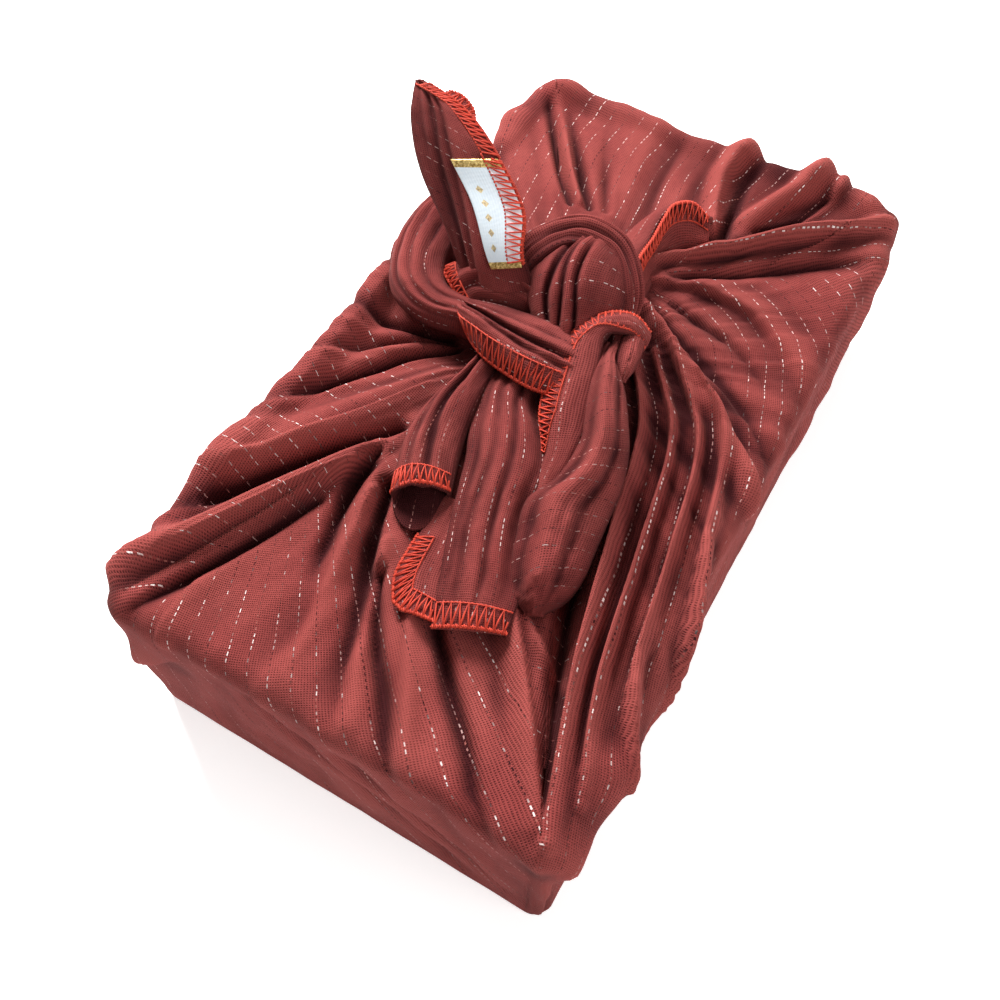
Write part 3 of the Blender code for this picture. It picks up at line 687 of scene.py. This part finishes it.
# ---------------------------------------------------------------------------------------------
# The knot: the cloth's four corners, drawn up, crossed and tied once. Each length that shows
# between two crossings is a gathered strip of the same cloth, its ends tucked under the next.
# rows are (first edge), (second edge), bow, thickness in mm along the strip. creases run along
# it: share of the way across at the start and the end, depth (below zero for a ridge), spread.
# yarns is which way the metallic yarns run, glint how strong their painted glint is, mouth how far
# an open end goes in, in mm, and flat the strip's width and length laid out, in m.
Strip = namedtuple("Strip", "rows creases yarns glint mouth flat")
ACROSS = 41  # places over a strip's upper side, and as many underneath
STATION_PITCH = 0.6  # mm along a strip
STRIPS = {
    "back_corner_outside": Strip(
        [(-7, 38, 78, 9, 34, 83, 1, 2.5),
         (-6, 46, 76, 5.5, 44, 83, 1, 2.2),
         (-7, 58, 73, 5, 56, 83, 1, 2.0),
         (-5, 72, 71, 4.5, 67, 84.5, 1, 2.0),
         (2, 84, 69, 8, 77, 83, 1, 2.0),
         (15, 88, 68, 16, 77, 80, 0.5, 1.8)],
        [],
        "along", 0.5, 0, (0.016, 0.052),
    ),
    "back_corner": Strip(
        [(8.5, 33, 84, 14, 31, 78, 0.5, 2.2),
         (6.5, 41, 84, 12, 40, 76, -0.5, 2.0),
         (5.5, 48, 83.5, 11, 48, 75, -1.0, 1.8),
         (5.5, 56, 83.5, 10, 55, 74, -1.0, 1.8),
         (5, 64, 84.5, 10, 60, 74, -1.0, 1.8),
         (5.5, 71, 85.5, 12, 64, 73, -1.0, 1.8),
         (10, 77, 83.5, 15, 67, 73, -1.0, 1.8),
         (16.5, 77, 80, 20, 70, 73, -0.5, 1.8)],
        [],
        "along", 0.1, 0, (0.011, 0.055),
    ),
    "left_loop": Strip(
        [(-66, 46, 80, -44, 36, 84, 3, 6),
         (-68, 33, 79, -48, 27, 84, 4, 8),
         (-67, 18, 77, -46, 16, 84, 4, 8),
         (-59, 2, 76, -43, 9, 84, 4, 8),
         (-45, -6, 77, -38, 5, 84, 3.5, 8),
         (-28, -6, 79, -29, 5, 84, 3, 7)],
        [(0.3, 0.25, 1.3, 0.05), (0.55, 0.5, 1.1, 0.05), (0.78, 0.75, 1.2, 0.05), (0.42, 0.4, -0.6, 0.05)],
        "along", 0.75, 0, (0.022, 0.075),
    ),
    "raised_corner": Strip(
        [(-36, 10, 84, -12, 10, 93, 3, 5),
         (-45, 15, 96, -18, 14, 101, 3, 3.2),
         (-59, 23, 107, -24, 24, 108, 2.5, 2.4),
         (-67, 31, 116, -38, 32, 116.5, 2, 2.2),
         (-70, 37, 120, -53, 39, 121, 1.2, 2.0),
         (-72, 42, 121.5, -69, 42.5, 122.5, 0.5, 1.8)],
        [(0.2, 0.36, 2.2, 0.06), (0.34, 0.5, 1.6, 0.05), (0.1, 0.2, 0.8, 0.05)],
        "across", 0.6, 0, (0.026, 0.063),
    ),
    "raised_corner_turned_edge": Strip(
        [(-63, 42, 119.5, -62, 44, 120.5, 0, 1.5),
         (-59, 40.5, 119, -57, 44, 120.5, 0, 1.5),
         (-55, 38, 117.5, -52, 42, 119, 0, 1.5),
         (-50, 36, 116, -49, 38, 117, 0, 1.2)],
        [],
        "along", 0.2, 0, (0.010, 0.011),
    ),
    "left_stub": Strip(
        [(-46, 12.5, 82, -30.5, 1.5, 82, 2, 3.5),
         (-38, 17, 86, -25, 4, 84, 4, 7),
         (-27, 17.5, 88.5, -17, 5, 86, 4, 9),
         (-15, 15, 88.5, -7, 6, 86, 3, 8)],
        [(0.35, 0.3, 0.7, 0.08), (0.7, 0.6, 1.6, 0.08), (0.5, 0.45, -0.6, 0.08)],
        "along", 0.7, 0, (0.019, 0.033),
    ),
    "pleated_middle": Strip(
        [(-15, 27, 93, 11, 29, 93, 7, 9),
         (-17, 17, 92.5, 13, 22, 93, 7.5, 10),
         (-14, 9, 90.5, 14, 14, 90, 7, 10),
         (-7, 2, 87, 13, 6, 87, 4, 8),
         (-2, -2, 84, 11, 2, 84, 2, 6)],
        [(0.3, 0.2, 3.6, 0.035), (0.4, 0.38, 2.6, 0.028), (0.5, 0.6, 3.4, 0.03), (0.75, 0.8, 0.5, 0.1)],
        "across", 0.8, 0, (0.038, 0.033),
    ),
    "hood": Strip(
        [(-24, 18, 85, -18, 9, 88, 2, 5),
         (-22, 30, 92, -14, 17, 98, 3, 6),
         (-12, 38.5, 95, -7, 25, 101, 3, 6),
         (2, 40, 94, 3, 25, 100, 3, 6),
         (11, 31, 89, 10, 18, 95, 3, 6),
         (14, 20, 80, 14, 9, 84, 2, 5)],
        [(0.42, 0.55, 3.6, 0.045), (0.75, 0.66, 2.0, 0.04), (0.2, 0.34, 1.6, 0.05),
         (0.6, 0.8, 1.2, 0.04), (0.9, 0.85, 0.8, 0.04)],
        "along", 0.8, 0, (0.021, 0.073),
    ),
    "crossing_band": Strip(
        [(-32, 4, 84, -30, -1, 83, 1.5, 4),
         (-26, 2.5, 87.5, -24, -8, 83.5, 3, 6),
         (-18, 3, 89, -16.5, -12.5, 83.5, 3.5, 7),
         (-8, 3, 90.5, -6.5, -15.5, 84.5, 3.5, 7),
         (2, 3, 91, 2.5, -17.5, 86, 3.5, 7),
         (11, 3, 90, 9, -17, 87, 3, 6),
         (17, 3, 87, 14, -13, 86, 2, 4)],
        [(0.26, 0.58, 3.0, 0.04), (0.38, 0.72, 1.6, 0.035), (0.14, 0.34, 1.0, 0.04)],
        "along", 0.8, 0, (0.024, 0.05),
    ),
    "rolled_front_corner": Strip(
        [(-20, -6, 78, -11, -6, 80, 2, 5),
         (-21, -18, 76.5, -12, -16, 79, 3, 6),
         (-24, -33, 75.5, -10, -29, 79, 3.5, 8),
         (-22.5, -47, 75, -6.5, -42, 78, 3.5, 9),
         (-17, -62, 74, -2, -54, 76.5, 3, 8.5)],
        [(0.45, 0.62, 3.2, 0.09), (0.2, 0.3, 1.2, 0.08)],
        "along", 0.35, 9, (0.02, 0.055),
    ),
    "front_corner_under_layer": Strip(
        [(-5, -54, 74, 6, -56, 75, 0.5, 2),
         (-4, -68, 72.5, 9, -67, 74, 1, 2),
         (-3, -81, 71.5, 11, -77, 73, 1, 2),
         (2, -90, 71.5, 15, -88, 72.5, 1, 2)],
        [(0.5, 0.6, 0.6, 0.1)],
        "along", 0.8, 0, (0.014, 0.036),
    ),
    "front_corner": Strip(
        [(-12, -2, 78, 6, 0, 80, 2, 4),
         (-13, -17, 77, 6, -17, 79, 3, 5),
         (-9.5, -31, 76.5, 14, -27, 78.5, 4, 6),
         (-4, -43, 77, 19.5, -38, 79, 4, 5),
         (0, -55, 76, 21.5, -50, 77, 3.5, 4.5),
         (4, -66, 75, 25, -60, 76, 3, 4),
         (9, -78, 74, 30, -71, 75, 2.5, 3.5),
         (14, -90, 73, 32.5, -82, 74, 1.5, 2.6)],
        [(0.42, 0.2, 1.4, 0.06), (0.66, 0.5, 1.8, 0.05), (0.9, 0.8, 0.8, 0.06), (0.2, 0.1, 0.8, 0.05)],
        "along", 1.0, 0, (0.025, 0.092),
    ),
    "right_corner_flank": Strip(
        [(18, -44, 76, 24, -42, 81, 1, 2.5),
         (15, -32, 80, 24, -30, 86, 1.5, 2.5),
         (8.5, -22, 84, 22, -20, 89, 2, 2.5),
         (5.5, -12, 88, 19, -9, 92, 2, 2.5),
         (5, -2, 91, 16, -1, 94, 2, 2.5),
         (7, 5.5, 94, 15, 4, 95, 1.5, 2.5),
         (12.5, 11.5, 95.5, 18, 7, 94.5, 1, 2.5),
         (18.5, 15, 94, 21, 9, 92.5, 1, 2.5),
         (24, 14.5, 90.5, 24.5, 9, 89, 0.5, 2.5)],
        [],
        "along", 0.5, 0, (0.011, 0.072),
    ),
    "right_corner_roll": Strip(
        [(14, 5, 89, 20, 6, 88, 1, 4),
         (14.5, -1, 90, 21, 0, 88.5, 2, 5),
         (16, -9, 89, 27, -7, 88, 4, 8),
         (20, -19, 86, 32.5, -15, 86, 5.5, 10),
         (22.5, -28, 83, 37, -23, 83, 6, 11),
         (21.5, -38, 80, 39.5, -32, 80, 6, 12),
         (18, -47, 78, 40.5, -41, 78, 6, 12),
         (20.5, -57, 76, 41.5, -50, 76, 5.5, 12),
         (23.5, -65, 75, 42.5, -58, 75, 5, 11),
         (26.5, -70, 74, 42, -63.5, 74, 4.5, 9.5),
         (29.5, -73, 73.5, 40.5, -68, 73.5, 3, 7),
         (33, -74.3, 73, 38, -72, 73, 0.8, 3)],
        [(0.5, 0.4, -0.8, 0.15), (0.78, 0.66, 1.6, 0.07), (0.3, 0.1, 1.4, 0.08), (0.6, 0.5, 0.6, 0.06)],
        "across", 0.45, 0, (0.021, 0.092),
    ),
    "right_corner_curl": Strip(
        [(18, 8.5, 92, 24.5, 10.5, 90, 1, 3),
         (19.5, 3, 91.5, 25.5, 5.5, 89.5, 1.5, 4),
         (21, -1, 90.5, 26, 1, 89, 1.5, 4),
         (23, -4, 89, 25.5, -3, 88.5, 0.5, 2.5)],
        [],
        "along", 0.6, 0, (0.011, 0.013),
    ),
}


def strip_frame(strip, shares, steps):
    """The strip's middle surface, upward directions and half thickness at shares and steps, in mm."""
    table, near = smooth_rows(strip.rows, steps), 0.02
    back, fore = (smooth_rows(strip.rows, steps + way * near) for way in (-1, 1))
    first, across = table[:, 0:3], table[:, 3:6] - table[:, 0:3]
    up = np.cross(across, (fore - back)[:, 0:3] + (fore - back)[:, 3:6])
    up *= (np.sign(up[:, 2].mean()) / np.linalg.norm(up, axis=1))[:, None]
    middle = first + across * shares[:, None]
    middle += up * (table[:, 6] * np.sin(math.pi * np.clip(shares, 0, 1)))[:, None]
    profile = 0.35 + 0.65 * np.sin(math.pi * np.clip(shares, 0, 1)) ** 0.7
    return middle, up, table[:, 7] * profile / 2


def relief(strip, shares, steps, seed):
    """The creases in the strip's upper side, and its small unevenness."""
    progress = steps / (len(strip.rows) - 1)
    height = np.zeros(len(shares))
    for start, end, depth, spread in strip.creases:
        wander = 0.012 * np.sin(progress * 9 + start * 40)
        out = (shares - start - (end - start) * progress - wander) / spread
        height -= depth * np.exp(-(out**2)) * np.sin(math.pi * np.clip(progress, 0.02, 0.98)) ** 0.4
    small = [noise.noise(Vector((a * 5, b * 1.1, seed))) for a, b in zip(shares, steps)]
    fine = [noise.noise(Vector((a * 16, b * 2.5, seed + 9))) for a, b in zip(shares, steps)]
    return height + np.minimum(0.16 * strip.rows[1][7], 0.8) * (np.array(small) + 0.4 * np.array(fine))


def gathered_strip(name, strip, seed):
    length = np.linalg.norm(np.diff(np.array(strip.rows)[:, 0:3], axis=0), axis=1).sum()
    stations = int(max(20, min(150, length / STATION_PITCH)))
    steps = np.linspace(0, len(strip.rows) - 1, stations)
    # The section runs over the top from the first edge to the second, and back underneath.
    over = np.linspace(0, 1, ACROSS)
    shares = np.concatenate([over, over[::-1], over[:1]])
    upper = np.concatenate([np.ones(ACROSS), -np.ones(ACROSS), np.ones(1)])
    grid_shares, grid_steps = np.tile(shares, stations), np.repeat(steps, len(shares))
    middle, up, half = strip_frame(strip, grid_shares, grid_steps)
    face = np.tile(upper, stations)
    creased = relief(strip, grid_shares, grid_steps, seed)
    height = face * half + np.where(face > 0, creased, 0)
    shape = (stations, len(shares), 3)
    # Painted shade: darker in the creases, towards the strip's edges and all over its underside; a ridge
    # gets a painted highlight.
    side = 1 - np.sin(math.pi * grid_shares) ** 0.5
    deep = np.where(face > 0, np.clip(-creased / 2.2 + side * 0.8, -0.5, 1), 0.8).reshape(shape[:2])
    places = (middle + up * height[:, None]).reshape(shape)
    middle = middle.reshape(shape)
    end = (places[-1] - places[-8]).mean(0)
    end /= np.linalg.norm(end)
    if strip.mouth:
        # The rolled end is cut on a slant and open: its wall turns in and runs back up inside.
        under = np.clip(-face, 0, 1) * np.sin(math.pi * grid_shares) ** 0.6
        under = under.reshape(shape[:2])
        near_end = np.clip(np.linspace(-stations / 14, 1, stations), 0, 1)[:, None]
        places = places + end * (under * near_end * strip.mouth * 1.2)[..., None]
        rings = [places]
        centre = places[-1].mean(0)
        for depth, size in ((0.05, 0.9), (-0.3, 0.84), (-1.3, 0.72)):
            rings.append((centre + (places[-1] - centre) * size + end * depth * strip.mouth)[None])
        rings.append((centre - end * 1.3 * strip.mouth + (middle[-1] - centre) * 0.6)[None])
        # The open end's rim and inside get painted shade, full inside.
        inside = [0.8, 1, 1, 1]
    else:
        # A plain end is rounded over.
        bulge = strip.rows[-1][7] * 0.28
        rings = [places]
        for out, size in ((0.5, 0.86), (0.86, 0.5)):
            rings.append((middle[-1] + (places[-1] - middle[-1]) * size + end * out * bulge)[None])
        rings.append((middle[-1] + end * bulge)[None])
        inside = [0, 0, 0]
    places = np.concatenate([middle[:1], *rings])
    walked_on = np.linalg.norm(np.diff(places, axis=0), axis=2).mean(1)
    walked_round = np.linalg.norm(np.diff(places, axis=1), axis=2).mean(0)
    along = np.concatenate([[0], np.cumsum(walked_on)])[:, None] + np.zeros((1, len(shares)))
    across = np.concatenate([[0], np.cumsum(walked_round)])[None, :] + np.zeros((len(places), 1))
    yarns = np.stack([across, along] if strip.yarns == "along" else [along + across * 0.3, across], -1)
    glints = np.full(places.shape[:2], strip.glint)
    ends = np.repeat(np.array(inside, float)[:, None], len(shares), axis=1)
    deep = np.concatenate([deep[:1], deep, ends])
    piece = laid_cloth(name, places, cell_corners(yarns + seed * 1.3), glints, deep)


for seed, (name, strip) in enumerate(STRIPS.items()):
    gathered_strip(name, strip, seed)


# ---------------------------------------------------------------------------------------------
# The serging: the overlock stitch in bright red thread that holds the cloth's cut edge. It shows
# on the corners. Each stitch runs from the needle's line over the edge and back.
STITCH, THREAD = 2.1, 0.25  # mm along the edge, and the thread's radius
FIRST_SEED = 40  # for the stitches' unevenness
Serging = namedtuple("Serging", "strip outer inner lift")
SERGINGS = {
    "raised corner's edge": Serging(
        "raised_corner", [(1, 2.9), (1, 4.9)], [(0.82, 2.9), (0.8, 3.2), (0.68, 4.0), (0.1, 4.75)], 0,
    ),
    "over the label": Serging("raised_corner", [(1, 0.8), (1, 2.85)], [(0.86, 0.8), (0.82, 2.85)], 0.9),
    "turned edge": Serging("raised_corner_turned_edge", [(1, 0.1), (1, 2.8)], [(0, 0.1), (0, 2.8)], 0),
    "stub's end": Serging("left_stub", [(0, 0.02), (1, 0.02)], [(0.05, 0.5), (0.95, 0.42)], 0),
    "band's edge": Serging("crossing_band", [(1, 0.5), (1, 4.9)], [(0.72, 0.5), (0.7, 2), (0.74, 4.9)], 0),
    "front corner's end": Serging("front_corner", [(0, 7), (1, 7)], [(0.02, 6.5), (0.98, 6.5)], 0),
    "under layer's edge": Serging(
        "front_corner_under_layer", [(0, 1.0), (0, 2.8), (0.2, 3), (0.9, 3)],
        [(0.4, 1.0), (0.4, 2.4), (0.9, 2.55)], 0,
    ),
    "rolled corner's rim": Serging(
        "rolled_front_corner", [(0, 3.97), (1, 3.97)], [(0.03, 3.6), (0.97, 3.65)], 0,
    ),
    "right corner's edge": Serging(
        "right_corner_flank", [(0, 1), (0, 8)],
        [(0.15, 1), (0.42, 2), (0.42, 4), (0.6, 5), (0.85, 6), (0.9, 8)], 0,
    ),
    "back corner's edge": Serging("back_corner", [(0, 0.3), (0, 6.95)], [(0.35, 0.3), (0.35, 6.95)], 0),
}

thread_shader = Shader("overlock thread", Roughness=0.7)
where = thread_shader.add("ShaderNodeTexCoord", output=3)
tint = thread_shader.noise(where, 320, 2.0)
tone = thread_shader.mix(tint, (0.40, 0.020, 0.009), (0.80, 0.075, 0.030))
thread_shader.join(tone, thread_shader.surface.inputs["Base Color"])
ply = thread_shader.noise(where, 2600, 1.0)
thread_shader.join(
    thread_shader.add("ShaderNodeBump", {}, {"Strength": 0.5, "Distance": 0.0002, "Height": ply}),
    thread_shader.surface.inputs["Normal"],
)


def on_strip(strip, line, count, lift):
    """Evenly spaced places over the strip's upper side along a line of shares and steps, in mm."""
    line = np.array(line, float)
    fine = np.linspace(0, len(line) - 1, 400)
    shares, steps = (np.interp(fine, range(len(line)), axis) for axis in line.T)
    middle, up, half = strip_frame(strip, shares, steps)
    places = middle + up * (half + lift)[:, None]
    walked = np.concatenate([[0], np.cumsum(np.linalg.norm(np.diff(places, axis=0), axis=1))])
    at = np.linspace(0, walked[-1], count)
    place = np.column_stack([np.interp(at, walked, axis) for axis in places.T])
    upward = np.column_stack([np.interp(at, walked, axis) for axis in up.T])
    return place, upward, walked[-1]


def serged(name, serging, seed):
    strip = STRIPS[serging.strip]
    rng = np.random.default_rng(seed)
    _, _, length = on_strip(strip, serging.outer, 2, 0)
    stitches = max(3, int(length / STITCH))
    count = 2 * stitches + 1
    edge, up, _ = on_strip(strip, serging.outer, count, serging.lift)
    seam, seam_up, _ = on_strip(strip, serging.inner, count, serging.lift + 0.35)
    outward = edge - seam
    outward /= np.linalg.norm(outward, axis=1)[:, None]
    along = np.gradient(edge, axis=0)
    along /= np.linalg.norm(along, axis=1)[:, None]

    def jitter(size):
        return rng.normal(0, size, (count, 1))

    rim = edge + outward * 0.35 + along * jitter(0.16) + up * 0.1
    root = seam + along * jitter(0.14) + outward * jitter(0.16)
    lines = []
    # Over and back: from the needle's line to the rim, round it, and back to the next stitch.
    zigzag = []
    for k in range(count - 1):
        start, end = (root, rim) if k % 2 == 0 else (rim, root)
        lifted = seam_up[k] * (0.3 + 0.15 * rng.random())
        zigzag += [start[k], start[k] * 0.5 + end[k + 1] * 0.5 + lifted]
        if k % 2 == 0:
            zigzag += [end[k + 1] + up[k] * 0.35, end[k + 1] + outward[k] * 0.3 - up[k] * 0.3]
    lines.append(zigzag)
    # The needle's line, and the two threads that lock together along the rim.
    needle, needle_up, _ = on_strip(strip, serging.inner, count * 2, serging.lift + 0.15)
    lines.append(needle + needle_up * 0.25 * np.cos(np.arange(count * 2) * math.pi)[:, None])
    fine_edge, fine_up, _ = on_strip(strip, serging.outer, count * 3, serging.lift)
    turn = np.arange(count * 3)[:, None] * (2 * math.pi / 3)
    fine_out = np.repeat(outward, 3, axis=0)
    lines.append(fine_edge + fine_out * (0.2 + 0.5 * np.sin(turn)) + fine_up * 0.45 * np.cos(turn))
    lines.append(fine_edge + fine_out * (0.2 - 0.5 * np.sin(turn)) - fine_up * 0.45 * np.cos(turn))
    curve = bpy.data.curves.new(name, "CURVE")
    curve.dimensions, curve.bevel_depth, curve.bevel_resolution = "3D", THREAD / 1000, 1
    curve.use_fill_caps = True
    for line in lines:
        spline = curve.splines.new("POLY")
        spline.points.add(len(line) - 1)
        flat = np.column_stack([np.array(line) / 1000, np.ones(len(line))])
        spline.points.foreach_set("co", flat.astype(np.float32).ravel())
    holder = bpy.data.objects.new(name, curve)
    bpy.context.scene.collection.objects.link(holder)
    bpy.context.view_layer.update()
    mesh = bpy.data.meshes.new_from_object(holder.evaluated_get(bpy.context.evaluated_depsgraph_get()))
    bpy.data.objects.remove(holder)
    mesh.shade_smooth()
    return finished(name, mesh, thread_shader.material)


for k, part in enumerate(SERGINGS.values()):
    serged(f"serging_{k}", part, FIRST_SEED + k)


# ---------------------------------------------------------------------------------------------
# The label: a strip of pale satin ribbon with glittering gold ends, sewn under the serging of the
# raised corner's edge. It has a row of small gold lozenges on it.
# Its sides are given at their two ends, by share across the raised corner and step along it.
LABEL_INNER, LABEL_OUTER = [(0.66, 0.62), (0.44, 2.5)], [(0.99, 0.72), (0.99, 2.86)]
LABEL_WIDTH, LABEL_LENGTH = 12, 39
LABEL_COLUMNS, LABEL_ROWS = 24, 64
label_shader = Shader("satin ribbon", Roughness=0.42)
ribbon = label_shader.add("ShaderNodeUVMap", {"uv_map": "weave"})
split = label_shader.add("ShaderNodeSeparateXYZ", {}, [ribbon])
across, along = split, Socket(label_shader, split.output.node.outputs[1])
glitter = label_shader.noise(label_shader.add("ShaderNodeTexCoord", output=3), 1400, 2.0, 0.7)
gold = label_shader.mix(
    label_shader.across(glitter, 0.35, 0.65), (0.32, 0.17, 0.03), (0.95, 0.72, 0.28)
)
beside = abs(across - 3.6)
lozenge = (beside + abs((along / 5.2).fraction() - 0.5) * 3.4) < 0.95
motif = lozenge * (along > 6) * (along < 32)
ends = (along < 2.8).most(along > 36.2)
satin = label_shader.mix(glitter, (0.62, 0.72, 0.80), (0.80, 0.85, 0.88))
sewn = label_shader.mix((across > 8.2) * 0.8, satin, (0.86, 0.78, 0.80))
label_shader.join(
    label_shader.mix(ends.most(motif * 0.8), sewn, gold), label_shader.surface.inputs["Base Color"]
)
label_shader.join(ends.most(motif) * 0.6, label_shader.surface.inputs["Metallic"])
weft = (along * 14).sine() * 0.5 + (across * 9).sine() * 0.2
label_shader.join(
    label_shader.add(
        "ShaderNodeBump",
        {},
        {"Strength": 0.25, "Distance": 0.0002, "Height": weft + ends * glitter * 4},
    ),
    label_shader.surface.inputs["Normal"],
)

corner = STRIPS["raised_corner"]
inner, outer = (np.linspace(*side, LABEL_ROWS)[:, None] for side in (LABEL_INNER, LABEL_OUTER))
spots = inner + (outer - inner) * np.linspace(0, 1, LABEL_COLUMNS)[None, :, None]
grid_shares, grid_steps = spots.reshape(-1, 2).T
middle, up, half = strip_frame(corner, grid_shares, grid_steps)
lift = half + 0.8 + 0.25 * np.sin(grid_steps * 5) * (0.97 - grid_shares)
top, under = (middle + up * (lift + more)[:, None] for more in (0.35, 0.0))
top, under = (face.reshape(LABEL_ROWS, LABEL_COLUMNS, 3) for face in (top, under))
places = np.concatenate([top, under[:, ::-1], top[:, :1]], axis=1)
flat_end = (top + under) / 2
closing = np.concatenate([flat_end, flat_end[:, ::-1], flat_end[:, :1]], axis=1)
places = np.concatenate([closing[:1], places, closing[-1:]])
across_mm = np.linspace(0, LABEL_WIDTH, LABEL_COLUMNS)
across_mm = np.concatenate([across_mm, across_mm[::-1], [0]])
along_mm = np.concatenate([[0], np.linspace(0, LABEL_LENGTH, LABEL_ROWS), [LABEL_LENGTH]])
yarns = np.stack(np.meshgrid(across_mm, along_mm), -1)
mesh = closed_mesh("satin_label", places, cell_corners(yarns))
ribbon_label = finished("satin_label", mesh, label_shader.material)
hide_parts("label")
